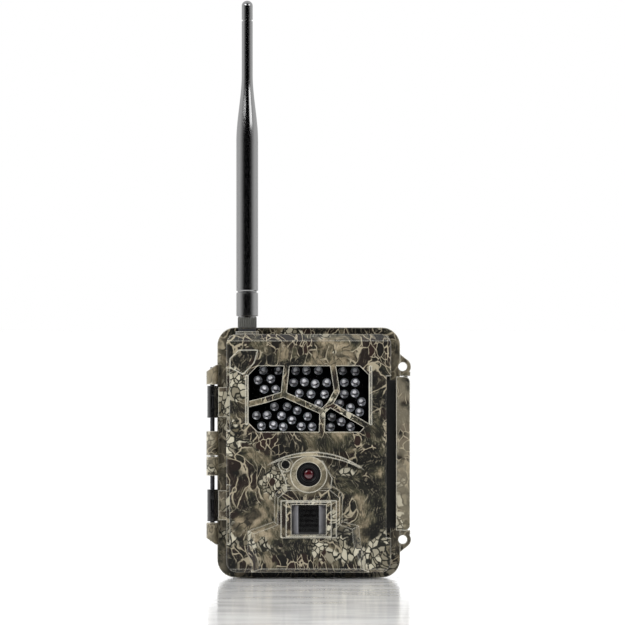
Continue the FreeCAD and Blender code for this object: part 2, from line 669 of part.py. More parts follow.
def make_windows():
    pane = body("led_window_pane")
    sheet_outline = sketch(pane, "XZ", "face_y + front_wall + 1.3")
    window_outline(sheet_outline, "1.8")
    pad(pane, sheet_outline, "1.2")
    sub_part(pane, "led_window_pane")

    pir = body("pir_window")
    lens = sketch(pir, "XY", "pir_low_z + 0.05")
    polygon(lens, [("-9.95", "-28.5"), ("-9.95", "-33"), ("-5.9", "-35.8"), ("5.9", "-35.8"),
                   ("9.95", "-33"), ("9.95", "-28.5"), ("8.8", "-28.5"), ("8.8", "-32.4"),
                   ("5.4", "-34.7"), ("-5.4", "-34.7"), ("-8.8", "-32.4"), ("-8.8", "-28.5")])
    pad(pir, lens, "pir_high_z - pir_low_z - 0.1")
    sub_part(pir, "pir_window")
    eye = rod("eye_window", "y", ("eye_x", "eye_z"), "eye_radius", "-33.2", "-28.5")
    sub_part(eye, "light_sensor_window")

    front_half = rod("barrel_head", "y", ("0", "lens_z"), "lens_radius", "-34.6", "-29")
    rear_half = rod("barrel_thread", "y", ("0", "lens_z"), "6", "-29", "-22.2")
    cone = doc.addObject("Part::Cone", "barrel_mouth")
    cone.Placement = FreeCAD.Placement(Vector(), TURNS["y"])
    bind(cone, "Radius1", "5.2")
    bind(cone, "Radius2", "3.2")
    bind(cone, "Height", "1.9")
    bind(cone, "Placement.Base.y", "-34.6")
    bind(cone, "Placement.Base.z", "lens_z")
    bore = rod("barrel_bore", "y", ("0", "lens_z"), "3.2", "-33", "-22")
    sub_part(cut("barrel_open", fuse("barrel_solid", front_half, rear_half), cone, bore), "lens_barrel")
    glass = body("lens_glass")
    profile = sketch(glass, "XZ", "-29.5")
    circle(profile, "0", "lens_z", "3.2")
    pad(glass, profile, "2.6")
    dress(glass, "Fillet", "1.1", lambda e: e.BoundBox.YMax < -32)
    sub_part(glass, "lens_glass")


# Places of the emitters from the window's centre, cell by cell.
LEDS = [(-26.3, 16.4), (-17.7, 16.4), (-29.3, 10.9), (-21.9, 11.6), (-25.7, 5.6), (-19.2, 5.6),
        (-7.6, 16.2), (-1.3, 16.4), (5.5, 16.4), (-8.7, 9.4), (-2.5, 9.8), (3.7, 8.8), (10.4, 9.4),
        (-5.5, 3.3), (1.3, 2.8), (9.1, 2.7), (5.7, -2.8),
        (19.6, 16.2), (26.9, 15.9), (20.6, 9.5), (26.9, 9.5), (20.6, 2.8), (26.7, 3.3),
        (30.6, -1.6), (18, -2.7), (24.1, -5), (29.4, -7.6),
        (-19.8, -4.5), (-12.5, -4.4), (-6.7, -6.7), (-30.2, -9.6), (-24, -9.3), (-15.8, -9.7),
        (-0.7, -10.1), (-9.7, -12.2), (-27.3, -15.6), (-20.5, -15.1), (-14.8, -16.1), (-4.3, -15.8),
        (1.9, -16.1), (13.3, -10.5), (18.8, -13.2), (12.7, -16.2), (24.2, -16.1)]


def make_illuminator():
    back, tip = value("led_board_y - board_thick"), value("face_y + front_wall + 1.6")
    radius = value("led_radius")
    stem = Part.makeCylinder(radius, back - tip - radius, Vector(0, back, 0), Vector(0, -1, 0))
    dome = Part.makeSphere(radius, Vector(0, tip + radius, 0))
    led = stem.fuse(dome).removeSplitter()
    group("infrared_leds", [moved(led, x, 0, value("window_z") + z) for x, z in LEDS])

    mask = body("led_mask")
    plate = sketch(mask, "XZ", "-24.2")
    window_outline(plate, "1.7")
    for x, z in LEDS:
        circle(plate, x, f"window_z + {z}", "led_radius + 0.1")
    pad(mask, plate, "1.2")
    sub_part(mask, "led_mask")
    depth = ("led_board_y - board_thick", "led_board_y")
    sub_part(box("led_board_blank", ("-36", "36"), depth, ("83.5", "124")), "led_board")


def make_camera_core():
    z = "lens_z"
    board_front = "sensor_board_y - board_thick"
    sub_part(box("sensor_board_blank", ("-20", "20"), (board_front, "sensor_board_y"), ("24", "75")),
             "sensor_board")
    holder = box("holder_block", ("-9", "15.5"), ("-25", board_front), (f"{z} - 8", f"{z} + 8"))
    bore = rod("holder_bore", "y", ("0", z), "6", "-26", "-22")
    filter_bay = box("holder_filter_bay", ("-6.2", "14.2"), ("-22", "-20.9"), (f"{z} - 5", f"{z} + 5"))
    sensor_bay = box("holder_sensor_bay", ("-5.5", "5.5"), ("-21", "-18"), (f"{z} - 5.5", f"{z} + 5.5"))
    sub_part(cut("holder_hollow", holder, bore, filter_bay, sensor_bay), "lens_holder")
    sub_part(box("sensor_chip", ("-4.5", "4.5"), ("-20.4", board_front), (f"{z} - 4.2", f"{z} + 4.2")),
             "image_sensor")
    blade = box("filter_blade", ("-5.8", "5.8"), ("-21.8", "-21.1"), (f"{z} - 4.6", f"{z} + 4.6"))
    sub_part(blade, "ir_filter")
    can = fuse("pir_can", rod("pir_flange", "y", ("0", "34"), "4.9", "-20", board_front),
               rod("pir_cap", "y", ("0", "34"), "4.2", "-24", "-20"))
    sub_part(can, "pir_sensor")
    sub_part(rod("photodiode", "y", ("eye_x", "eye_z"), "1.5", "-24", board_front), "light_sensor")
    depth = ("main_board_y - board_thick", "main_board_y")
    board = box("main_board_blank", ("-34", "34"), depth, ("11", "129"))
    header = box("board_header", ("-31", "-21"), ("-21", "-15"), ("69", "75"))
    aerial_socket = box("board_aerial_socket", ("-27.6", "-25"), ("-21", "-15"), ("125.7", "127.9"))
    sub_part(fuse("main_board_populated", board, header, aerial_socket), "main_board")
    modem = box("modem_can", ("-17", "17"), ("-19.2", "main_board_y - board_thick"), ("86", "120"))
    sub_part(modem, "modem_module")
    screen_depth = ("main_board_y", "plate_y - plate_thick - 0.1")
    sub_part(box("display_module", ("-30", "30"), screen_depth, ("84", "128")), "display")


BUTTONS = {"up": (0, 1), "down": (0, -1), "left": (-1, 0), "right": (1, 0), "ok": (0, 0), "menu": (-2.7, 0)}


def button_place(step):
    return f"{step[0]} * keypad_pitch", f"keypad_z + {step[1]} * keypad_pitch"


def make_inner_plate():
    plate = body("inner_plate")
    panel = sketch(plate, "XZ", "plate_y")
    rectangle(panel, "-41.7", "41.7", "8.3", "136.7")
    pad(plate, panel, "plate_thick")
    dress(plate, "Fillet", "2", along("y", value("plate_thick")))
    openings = sketch(plate, "XZ", "plate_y - plate_thick")
    rectangle(openings, "-25", "25", "88", "124")
    rectangle(openings, "-34", "-7", "10.5", "30")
    rectangle(openings, "10", "31", "10.5", "26")
    rectangle(openings, "-4.6", "4.6", "10.5", "23")
    rectangle(openings, "26", "30", "55", "73")
    for step in BUTTONS.values():
        circle(openings, *button_place(step), "button_radius + button_gap")
    for x, z in BOSSES:
        circle(openings, x, z, "1.4")
    pocket(plate, openings, "plate_thick")
    sub_part(plate, "inner_plate")

    rear_face = value("plate_y")
    head = Part.makeCylinder(2.3, 1.5, Vector(0, rear_face, 0), Vector(0, 1, 0))
    cross = Part.makeBox(3, 1, 0.7, Vector(-1.5, rear_face + 0.7, -0.35))
    shank = Part.makeCylinder(1.1, 9.4, Vector(0, rear_face, 0), Vector(0, -1, 0))
    screw = head.fuse(shank).cut(cross)
    group("plate_screws", [moved(screw, value(x), 0, z) for x, z in BOSSES])


def make_controls():
    switches = []
    switch = Part.makeBox(6, 1.4, 6, Vector(-3, value("main_board_y"), -3))
    plunger = Part.makeCylinder(1.5, 0.4, Vector(0, value("main_board_y") + 1.4, 0), Vector(0, 1, 0))
    switch = switch.fuse(plunger)
    foot_y = "plate_y - plate_thick - 0.9"
    for name, step in BUTTONS.items():
        x, z = button_place(step)
        cap = rod(f"cap_{name}", "y", (x, z), "button_radius", foot_y, "plate_y + 1.3")
        flange = rod(f"cap_flange_{name}", "y", (x, z), "button_radius + 0.8", foot_y, f"{foot_y} + 0.7")
        sub_part(fuse(f"cap_solid_{name}", cap, flange), f"button_{name}")
        switches.append(moved(switch, value(x), 0, value(z)))
    group("button_switches", switches)
    sub_part(box("slide_switch", ("22", "34"), ("main_board_y", "-11.8"), ("52", "76")), "mode_switch_body")
    knob = fuse("knob", box("knob_stem", ("26.4", "29.6"), ("-11.6", "-8"), ("56", "61")),
                box("knob_cap", ("25.2", "30.8"), ("plate_y + 0.2", "plate_y + 1.6"), ("55.5", "61.5")))
    sub_part(knob, "mode_slider")


def make_card_sockets():
    shell = box("sd_shell", ("-33.4", "-6.6"), ("main_board_y", "-11"), ("27", "59"))
    way = box("sd_way", ("-32.2", "-7.8"), ("-13.9", "-11.5"), ("26", "56.4"))
    sd_socket = cut("sd_open", shell, way)
    card = box("sd_blank", ("-32", "-8"), ("-13.75", "-11.65"), ("24", "56"))
    sub_part(card, "sd_card")
    holder = box("sim_shell", ("11", "29.5"), ("main_board_y", "-12"), ("23.5", "46.5"))
    sim_way = box("sim_way", ("12.6", "27.9"), ("-13.9", "-12.7"), ("23", "45.2"))
    sub_part(fuse("both_sockets", sd_socket, cut("sim_open", holder, sim_way)), "card_sockets")
    sub_part(box("sim_blank", ("12.75", "27.75"), ("-13.7", "-12.9"), ("20", "45")), "sim_card")
    port = box("usb_shell", ("-3.85", "3.85"), ("main_board_y", "-10.7"), ("13", "22.2"))
    usb_way = box("usb_way", ("-3.3", "3.3"), ("-13.9", "-11.2"), ("12", "21"))
    sub_part(cut("usb_open", port, usb_way), "usb_port")


# ---------------------------------------------------------------- antenna
def make_antenna():
    at = ("antenna_x", "antenna_y")
    jack = fuse("jack_turned", rod("jack_thread", "z", at, "jack_radius", "131.8", "150"),
                rod("jack_flange", "z", at, "4.6", "134.3", "137"))
    sub_part(cut("jack_socket", jack, rod("jack_hole", "z", at, "1.2", "144", "151")), "antenna_connector")
    ring = rod("seal_outer", "z", at, "5", "boss_top_z", "collar_low_z - 0.1")
    ring_bore = rod("seal_bore", "z", at, "jack_radius", "boss_top_z - 1", "collar_low_z")
    sub_part(cut("seal_ring", ring, ring_bore), "antenna_seal")

    collar = body("antenna_collar")
    nut = sketch(collar, "XY", "collar_low_z")
    sides = 12
    points = []
    for i in range(sides):
        angle = 360 * (i + 0.5) / sides
        points.append((f"antenna_x + 5.7 * cos({angle})", f"antenna_y + 5.7 * sin({angle})"))
    polygon(nut, points)
    pad(collar, nut, "collar_high_z - collar_low_z")
    bore = sketch(collar, "XY", "collar_high_z")
    circle(bore, *at, "jack_radius + 0.08")
    pocket(collar, bore, "collar_high_z - collar_low_z")
    counterbore = sketch(collar, "XY", "collar_high_z")
    circle(counterbore, *at, "4.5")
    pocket(collar, counterbore, "1.2")
    sub_part(collar, "antenna_collar")

    sleeve = fuse("sleeve_solid", rod("sleeve_neck", "z", at, "4.4", "150.4", "153"),
                  rod("sleeve_outer", "z", at, "whip_radius", "152.5", "whip_low_z"))
    sub_part(sleeve, "antenna_sleeve")

    whip = body("antenna_whip")
    outline = sketch(whip, "XZ", "antenna_y")
    profile = [("antenna_x", "whip_low_z"), ("antenna_x + 5.2", "whip_low_z"),
               ("antenna_x + 5.2", "whip_low_z + 1.5"), ("antenna_x + whip_radius", "whip_low_z + 1.5"),
               ("antenna_x + whip_radius", "253"), ("antenna_x + 6.1", "260"), ("antenna_x + 5.4", "268"),
               ("antenna_x + 4.3", "277"), ("antenna_x + 3.5", "285"),
               ("antenna_x + whip_tip_radius", "291"), ("antenna_x + whip_tip_radius", "322.4"),
               ("antenna_x", "322.4")]
    polygon(outline, profile)
    turned = whip.newObject("PartDesign::Revolution", "whip_turned")
    turned.Profile = outline
    turned.ReferenceAxis = (outline, ["Edge12"])
    doc.recompute()
    bore = sketch(whip, "XY", "318")
    circle(bore, *at, "1")
    pocket(whip, bore, "150")
    sub_part(whip, "antenna_whip")
    sub_part(rod("element_rod", "z", at, "1", "168", "318"), "antenna_element")

    tip = body("antenna_tip")
    foot = sketch(tip, "XY", "322.4")
    circle(foot, *at, "2.7")
    pad(tip, foot, "1")
    cap = sketch(tip, "XY", "323")
    circle(cap, *at, "whip_tip_radius")
    pad(tip, cap, "antenna_top_z - 323")
    dress(tip, "Fillet", "2.6", lambda e: e.BoundBox.ZMin > value("antenna_top_z") - 1e-3)
    sub_part(tip, "antenna_tip")
    make_antenna_lead()


def make_antenna_lead():
    """The coaxial lead from the connector's tail to the modem, in straight runs and arcs."""
    x, y = value("antenna_x"), value("antenna_y")
    radius, bend = 0.8, 4
    start = Vector(x, y, 131.8)
    corner = Vector(x, y, 126.8)
    end = Vector(-27.6, y, 126.8)
    toward = (end - corner).normalize()
    arc_in = corner + Vector(0, 0, bend)
    arc_out = corner + toward * bend
    centre = arc_in + toward * bend
    middle = centre + ((corner - centre).normalize()) * bend
    runs = [Part.LineSegment(start, arc_in), Part.Arc(arc_in, middle, arc_out),
            Part.LineSegment(arc_out, end)]
    path = Part.Wire([run.toShape() for run in runs])
    section = Part.Wire(Part.makeCircle(radius, start, Vector(0, 0, -1)))
    obj = doc.addObject("Part::Feature", "antenna_lead")
    obj.Shape = path.makePipeShell([section], True, False)
    obj.Placement = FreeCAD.Placement()
    sub_part(obj, "antenna_lead")


def write_parts():
    doc.recompute()
    for obj in doc.Objects:
        if {"Invalid", "Error"} & set(obj.State):
            raise RuntimeError(f"{obj.Name} has failed: {obj.State}")
    for obj in SUB_PARTS:
        if obj.Shape.isNull() or not obj.Shape.isValid():
            raise RuntimeError(f"{obj.Label} has no sound shape")
    os.makedirs("parts", exist_ok=True)
    for obj in SUB_PARTS:
        obj.Shape.exportStep(f"parts/{obj.Label}.step")
    print(len(SUB_PARTS), "sub-parts")


make_rear_housing()
make_gasket()
make_rear_fittings()
make_battery_bay()
make_tree_bracket()
make_front_cover()
make_hinge_barrels()
make_latch()
make_windows()
make_illuminator()
make_camera_core()
make_inner_plate()
make_controls()
make_card_sockets()
make_antenna()
write_parts()
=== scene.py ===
"""Looks of the trail camera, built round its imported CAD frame. Everything is in metres."""
import bmesh
import bpy
import json
import math
from mathutils import Matrix, Vector


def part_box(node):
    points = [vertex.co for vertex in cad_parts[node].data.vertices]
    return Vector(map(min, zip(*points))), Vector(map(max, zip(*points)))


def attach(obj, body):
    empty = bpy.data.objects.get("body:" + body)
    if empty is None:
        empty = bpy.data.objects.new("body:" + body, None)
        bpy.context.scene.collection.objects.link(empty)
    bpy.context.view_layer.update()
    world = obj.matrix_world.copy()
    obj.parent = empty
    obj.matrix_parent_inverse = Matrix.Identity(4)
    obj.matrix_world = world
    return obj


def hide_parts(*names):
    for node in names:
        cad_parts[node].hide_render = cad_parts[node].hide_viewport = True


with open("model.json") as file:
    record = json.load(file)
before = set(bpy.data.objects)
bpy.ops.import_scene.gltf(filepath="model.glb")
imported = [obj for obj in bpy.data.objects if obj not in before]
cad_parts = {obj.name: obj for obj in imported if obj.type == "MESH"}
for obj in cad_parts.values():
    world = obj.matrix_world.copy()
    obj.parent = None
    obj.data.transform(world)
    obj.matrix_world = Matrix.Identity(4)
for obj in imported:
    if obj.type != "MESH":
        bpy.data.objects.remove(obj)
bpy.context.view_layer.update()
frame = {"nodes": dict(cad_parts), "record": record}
MM = 0.001
MM_PER_METRE = 1000
WELD = 1e-6
SHARP_DEGREES = 35
BRUSHED = (0.3, 0.3, 6.0)
FLOOR_RADIUS, FLOOR_FRONT, FLOOR_DROP = 40, 1.2, 0.0002
ROOM_STRENGTH = 1.5


# ---------------------------------------------------------------- shader helpers
class Shade:
    """A material and short calls that add nodes to it."""

    def __init__(self, name, colour, roughness, **sockets):
        self.material = bpy.data.materials.new(name)
        self.material.use_nodes = True
        self.tree = self.material.node_tree
        self.shader = self.tree.nodes["Principled BSDF"]
        self.set("Base Color", colour)
        self.set("Roughness", roughness)
        for socket, value in sockets.items():
            self.set(socket.replace("_", " "), value)

    def set(self, socket, value):
        self.plug(self.shader.inputs[socket], value)

    def plug(self, socket, value):
        if isinstance(value, bpy.types.NodeSocket):
            self.tree.links.new(value, socket)
        elif socket.type == "RGBA" and len(value) == 3:
            socket.default_value = (*value, 1)
        else:
            socket.default_value = value

    def node(self, kind, inputs=(), **settings):
        node = self.tree.nodes.new("ShaderNode" + kind)
        for key, value in settings.items():
            setattr(node, key, value)
        for key, value in dict(inputs).items():
            self.plug(node.inputs[key], value)
        return node

    def place(self, scale=(1, 1, 1), turn=(0, 0, 0), shift=(0, 0, 0)):
        """The object's own coordinates in millimetres, turned, scaled and shifted."""
        coords = self.node("TexCoord").outputs["Object"]
        inputs = {"Vector": coords, "Scale": tuple(MM_PER_METRE * s for s in scale),
                  "Rotation": turn, "Location": shift}
        return self.node("Mapping", inputs).outputs[0]

    def noise(self, vector, scale, detail=2.0, rough=0.5, colour=False):
        inputs = {"Vector": vector, "Scale": scale, "Detail": detail, "Roughness": rough}
        return self.node("TexNoise", inputs).outputs[1 if colour else 0]

    def math(self, operation, a, b=0.0):
        return self.node("Math", {0: a, 1: b}, operation=operation).outputs[0]

    def step(self, value, low, high, out_low=0.0, out_high=1.0):
        inputs = {"Value": value, "From Min": low, "From Max": high, "To Min": out_low, "To Max": out_high}
        return self.node("MapRange", inputs, interpolation_type="SMOOTHSTEP").outputs[0]

    def mix(self, factor, a, b):
        node = self.node("Mix", data_type="RGBA")
        for socket, value in zip((node.inputs[0], node.inputs[6], node.inputs[7]), (factor, a, b)):
            self.plug(socket, value)
        return node.outputs[2]

    def ramp(self, value, stops):
        node = self.node("ValToRGB", {"Fac": value})
        bar = node.color_ramp.elements
        while len(bar) < len(stops):
            bar.new(0.5)
        for element, (place, colour) in zip(bar, stops):
            element.position = place
            element.color = (*colour, 1)
        return node.outputs[0]

    def bump(self, height, strength, distance):
        inputs = {"Height": height, "Strength": strength, "Distance": distance}
        self.set("Normal", self.node("Bump", inputs).outputs[0])

    def edges(self, radius):
        """Where the surface turns a corner: 0 on the flat, near 1 on an edge."""
        rounded = self.node("Bevel", {"Radius": radius}, samples=6).outputs[0]
        plain = self.node("NewGeometry").outputs["Normal"]
        dot = self.node("VectorMath", {0: rounded, 1: plain}, operation="DOT_PRODUCT").outputs["Value"]
        return self.step(dot, 0.995, 0.8)


# ---------------------------------------------------------------- materials
BLACK, CHARCOAL, OLIVE = (0.003, 0.003, 0.002), (0.012, 0.012, 0.008), (0.050, 0.047, 0.028)
BROWN, MID, TAN = (0.022, 0.010, 0.007), (0.130, 0.110, 0.068), (0.300, 0.245, 0.160)
# The last colour on the next line is the painted highlight on the camo's corners.
PALE, CREAM, PAINTED_EDGE_LIGHT = (0.47, 0.41, 0.29), (0.62, 0.58, 0.45), (0.85, 0.82, 0.70)


def scale_cells(s, vector, size, line):
    """Voronoi cells of about that size in mm: (line mask, random tone of each cell)."""
    inputs = {"Vector": vector, "Scale": 1 / size}
    edge = s.node("TexVoronoi", inputs, feature="DISTANCE_TO_EDGE").outputs[0]
    cell = s.node("TexVoronoi", inputs, feature="F1").outputs["Color"]
    return s.step(edge, line, line * 0.4), s.node("SeparateColor", {0: cell}).outputs[0]


def push(s, vector, noise, reach):
    """Shifts a vector by a colour noise, up to about half of reach either way."""
    centred = s.node("VectorMath", {0: noise, 1: (0.5, 0.5, 0.5)}, operation="SUBTRACT").outputs[0]
    scaled = s.node("VectorMath", {0: centred, "Scale": reach}, operation="SCALE").outputs[0]
    return s.node("VectorMath", {0: vector, 1: scaled}, operation="ADD").outputs[0]


def camo(lens, seam_height):
    """A generic woodland pattern: smudges, leaf-like veins and patches of hide-like cells.

    It is plainer and paler round the lens mouth, and painted paler towards the case's sides,
    where side light falls. Corners get a pale painted highlight, but not the rear housing's seam
    at seam_height. Sizes are in millimetres.
    """
    vein_size, hide_size, net_size = 5.5, 3.3, 4.0
    # Where the painted side light starts and where it is full, in mm from the middle.
    side_light_start, side_light_end = 45.5, 51
    plain_inside, plain_outside = 11, 14
    # Width in mm of the painted highlight along corners.
    edge_light_width = 1.1
    s = Shade("camo_film", TAN, 0.35, Coat_Weight=0.4, Coat_Roughness=0.12, Coat_IOR=1.5,
              Specular_IOR_Level=0.25)
    raw = s.place()
    bent = push(s, raw, s.noise(raw, 0.035, 1.5, colour=True), 30)
    bent = push(s, bent, s.noise(raw, 0.16, 2, colour=True), 4)

    def zone(shift, scale, low, high):
        return s.step(s.noise(s.place(shift=shift), scale, 3, 0.6), low, high)

    def stretched(scale, turn):
        return s.node("Mapping", {"Vector": bent, "Scale": scale, "Rotation": turn}).outputs[0]

    ground = s.noise(bent, 0.055, 6, 0.62)
    stops = [(0.45, BLACK), (0.50, CHARCOAL), (0.545, OLIVE), (0.59, MID), (0.65, TAN), (0.75, PALE)]
    colour = s.ramp(ground, stops)
    light = s.step(ground, 0.53, 0.62)

    streak = s.noise(stretched((1, 1, 0.14), (0, 0.7, 0)), 1.1, 3, 0.65)
    colour = s.mix(s.step(streak, 0.54, 0.66, 0, 0.55), colour, CHARCOAL)
    colour = s.mix(s.step(streak, 0.46, 0.36, 0, 0.3), colour, PALE)

    vein, leaf_tone = scale_cells(s, stretched((1, 1, 0.33), (0, 0.9, 0)), vein_size, 0.055)
    leaf = s.mix(s.step(leaf_tone, 0.3, 0.8, 0, 0.5), colour, s.mix(light, BROWN, TAN))
    leaf = s.mix(s.math("MULTIPLY", vein, 0.8), leaf, s.mix(light, PALE, CHARCOAL))
    colour = s.mix(zone((9, 3, 70), 0.03, 0.47, 0.52), colour, leaf)

    seam, hide_tone = scale_cells(s, stretched((1, 1, 0.75), (0, 0.5, 0)), hide_size, 0.13)
    hide = s.mix(seam, s.mix(hide_tone, MID, CREAM), CHARCOAL)
    colour = s.mix(zone((0, 0, 0), 0.034, 0.565, 0.59), colour, hide)

    net, dark_tone = scale_cells(s, stretched((1, 1, 0.6), (0, -0.8, 0)), net_size, 0.055)
    dark = s.mix(s.math("MULTIPLY", net, 0.85), s.mix(dark_tone, BROWN, BLACK), PALE)
    colour = s.mix(zone((37, 11, 5), 0.04, 0.575, 0.60), colour, dark)

    colour = s.mix(s.math("MULTIPLY", zone((5, 90, 40), 0.05, 0.56, 0.66), 0.8), colour, BLACK)
    x, y, z = s.node("SeparateXYZ", {0: raw}).outputs
    # Painted light: towards the case's sides the pattern is painted paler, in patches, where side light
    # falls.
    across = s.math("ABSOLUTE", x)
    at_sides = s.step(across, side_light_start, side_light_end)
    painted_side_light = s.math("MULTIPLY", at_sides, zone((70, 20, 15), 0.08, 0.35, 0.55))
    colour = s.mix(s.math("MULTIPLY", painted_side_light, 0.32), colour, PALE)

    grain = s.noise(raw, 1.6, 4, 0.7)
    offset = tuple(-MM_PER_METRE * c for c in lens)
    from_lens = s.node("VectorMath", {0: s.place(shift=offset)}, operation="LENGTH").outputs["Value"]
    plain = s.mix(s.step(ground, 0.4, 0.6), MID, PALE)
    colour = s.mix(s.step(from_lens, plain_outside, plain_inside, 0, 0.8), colour, plain)
    colour = s.mix(s.step(grain, 0.5, 0.8, 0, 0.3), colour, BLACK)
    # Painted highlight: corners are painted pale, except along the rear housing's seam.
    near_seam = s.step(s.math("ABSOLUTE", s.math("SUBTRACT", z, seam_height)), 1.8, 1.2)
    on_seam = s.math("MULTIPLY", near_seam, s.step(y, -3.4, -2.8))
    painted_edge_light = s.math("MULTIPLY", s.edges(edge_light_width * MM), s.step(on_seam, 0, 1, 0.85, 0))
    s.set("Base Color", s.mix(painted_edge_light, colour, PAINTED_EDGE_LIGHT))
    s.set("Roughness", s.step(grain, 0.3, 0.7, 0.36, 0.48))
    s.bump(grain, 0.06, 0.0002)
    return s.material


def moulded(name, colour, roughness, grain=1.6, depth=0.25, coat=0.0, specular=0.5, ior=1.5):
    """Moulded plastic or rubber: a fine surface grain, slight mottling and a painted highlight that makes
    corners paler.
    """
    s = Shade(name, colour, roughness, Coat_Weight=coat, Coat_Roughness=0.08,
              Specular_IOR_Level=specular, IOR=ior)
    fine = s.noise(s.place(), grain, 4, 0.65)
    broad = s.noise(s.place(), 0.15, 3)
    lighter = tuple(min(1, 1.5 * c + 0.002) for c in colour)
    tone = s.mix(s.step(broad, 0.35, 0.7, 0, 0.45), colour, lighter)
    # Painted highlight: corners are painted paler.
    s.set("Base Color", s.mix(s.math("MULTIPLY", s.edges(0.4 * MM), 0.5), tone, lighter))
    s.set("Roughness", s.step(fine, 0.3, 0.7, roughness - 0.05, min(1, roughness + 0.08)))
    s.bump(fine, depth, 0.0001)
    return s.material


def metal(name, colour, roughness):
    """Worked metal: fine marks along one direction and slightly duller patches."""
    s = Shade(name, colour, roughness, Metallic=1.0)
    marks = s.noise(s.place(scale=BRUSHED), 0.9, 4, 0.7)
    dull = s.noise(s.place(), 0.3, 3)
    darker = tuple(0.72 * c for c in colour)
    s.set("Base Color", s.mix(s.step(dull, 0.4, 0.7, 0, 0.6), colour, darker))
    s.set("Roughness", s.step(marks, 0.3, 0.7, roughness - 0.06, roughness + 0.1))
    s.bump(marks, 0.12, 0.00005)
    return s.material


def clear(name, tint, roughness=0.02, ior=1.49):
    """Glass or clear plastic with faint moulding waviness, which doesn't stop a lamp's light."""
    s = Shade(name, tint, roughness, Transmission_Weight=1.0, IOR=ior)
    wave = s.noise(s.place(), 0.12, 2)
    s.set("Roughness", s.step(wave, 0.3, 0.8, roughness, roughness + 0.03))
    s.bump(wave, 0.05, 0.0002)
    through = s.node("MixShader", {0: s.node("LightPath").outputs["Is Shadow Ray"]})
    s.plug(through.inputs[1], s.shader.outputs[0])
    s.plug(through.inputs[2], s.node("BsdfTransparent", {"Color": tint}).outputs[0])
    s.plug(s.tree.nodes["Material Output"].inputs["Surface"], through.outputs[0])
    return s.material


def circuit_board():
    """Solder mask with copper traces showing through and small pads."""
    s = Shade("solder_mask", (0.012, 0.09, 0.04), 0.35)
    upright = s.place(turn=(math.pi / 2, 0, 0))
    lines = s.node("TexBrick", {"Vector": upright, "Scale": 0.33, "Mortar Size": 0.03})
    trace = s.step(lines.outputs["Fac"], 0.3, 0.7)
    cells = s.node("TexVoronoi", {"Vector": s.place(), "Scale": 0.35, "Randomness": 0.6}).outputs[0]
    pad = s.step(cells, 0.16, 0.12)
    colour = s.mix(trace, (0.010, 0.085, 0.038), (0.03, 0.17, 0.07))
    s.set("Base Color", s.mix(pad, colour, (0.62, 0.6, 0.55)))
    s.set("Metallic", s.math("MULTIPLY", pad, 0.9))
    s.bump(trace, 0.3, 0.0001)
    return s.material


def sensor_window():
    """The movement-sensor window: gloss black in the middle, with a painted grey sheen on its sloping sides.
    """
    s = Shade("sensor_window_black", (0.001, 0.001, 0.001), 0.1, Coat_Weight=1.0, Coat_Roughness=0.04)
    fine = s.noise(s.place(), 0.5, 2)
    s.set("Roughness", s.step(fine, 0.3, 0.7, 0.08, 0.16))
    # Painted reflection: faces turned left or right are painted grey, in patches, for the bright room they
    # would mirror.
    normal = s.node("SeparateXYZ", {0: s.node("TexCoord").outputs["Normal"]}).outputs[0]
    slope = s.step(s.math("ABSOLUTE", normal), 0.1, 0.75)
    painted_sheen = s.math("MULTIPLY", slope, s.step(s.noise(s.place(), 0.3, 2), 0.2, 0.7, 0.7, 1.0))
    s.set("Base Color", s.mix(painted_sheen, (0.001, 0.001, 0.001), (0.26, 0.26, 0.28)))
    prisms = s.node("TexWave", {"Vector": s.place(), "Scale": 0.11, "Distortion": 0.0}, bands_direction="Z")
    s.bump(prisms.outputs["Fac"], 0.02, 0.0002)
    return s.material


def coated_lens(centre):
    """The lens painted on an opaque dome: a deep red centre and a paler ring as a painted reflection of the
    coating, and black round it.
    """
    s = Shade("coated_lens", (0.06, 0.008, 0.01), 0.08, Coat_Weight=1.0, Coat_Roughness=0.02)
    offset = tuple(-MM_PER_METRE * c for c in centre)
    from_centre = s.node("VectorMath", {0: s.place(shift=offset)}, operation="LENGTH").outputs["Value"]
    # Painted reflection: the red centre and the paler ring stand for the coating's reflection.
    stops = [(0.0, (0.075, 0.006, 0.009)), (0.34, (0.085, 0.009, 0.012)), (0.42, (0.11, 0.028, 0.034)),
             (0.60, (0.09, 0.022, 0.028)), (0.68, (0.004, 0.003, 0.003))]
    s.set("Base Color", s.ramp(s.math("DIVIDE", from_centre, 4.6), stops))
    s.bump(s.noise(s.place(), 0.4, 2), 0.02, 0.0001)
    return s.material


# ---------------------------------------------------------------- mesh helpers
def piece(name, mesh, material, body, replaced=()):
    """Puts a new mesh in the scene as a piece of the object."""
    obj = bpy.data.objects.new(name, mesh)
    bpy.context.scene.collection.objects.link(obj)
    obj.data.materials.append(material)
    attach(obj, body)
    if replaced:
        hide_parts(*replaced)
    return obj


def lathe(bm, profile, centre, axis=Vector((0, 0, 1)), segments=64, flutes=0, flute_depth=0.0):
    """Adds a turned form to bm: profile is (radius, height) pairs along axis from centre."""
    turn = axis.normalized().to_track_quat("Z", "Y").to_matrix()
    rings = []
    for radius, height in profile:
        if radius < 1e-7:
            rings.append([bm.verts.new(centre + turn @ Vector((0, 0, height)))])
            continue
        ring = []
        for i in range(segments):
            angle = 2 * math.pi * i / segments
            r = radius
            if flutes:
                r -= flute_depth * (0.5 + 0.5 * math.cos(flutes * angle)) ** 2
            spot = Vector((r * math.cos(angle), r * math.sin(angle), height))
            ring.append(bm.verts.new(centre + turn @ spot))
        rings.append(ring)
    for low, high in zip(rings, rings[1:]):
        for i in range(segments):
            j = (i + 1) % segments
            if len(low) == 1:
                bm.faces.new((low[0], high[j], high[i]))
            elif len(high) == 1:
                bm.faces.new((low[i], low[j], high[0]))
            else:
                bm.faces.new((low[i], low[j], high[j], high[i]))


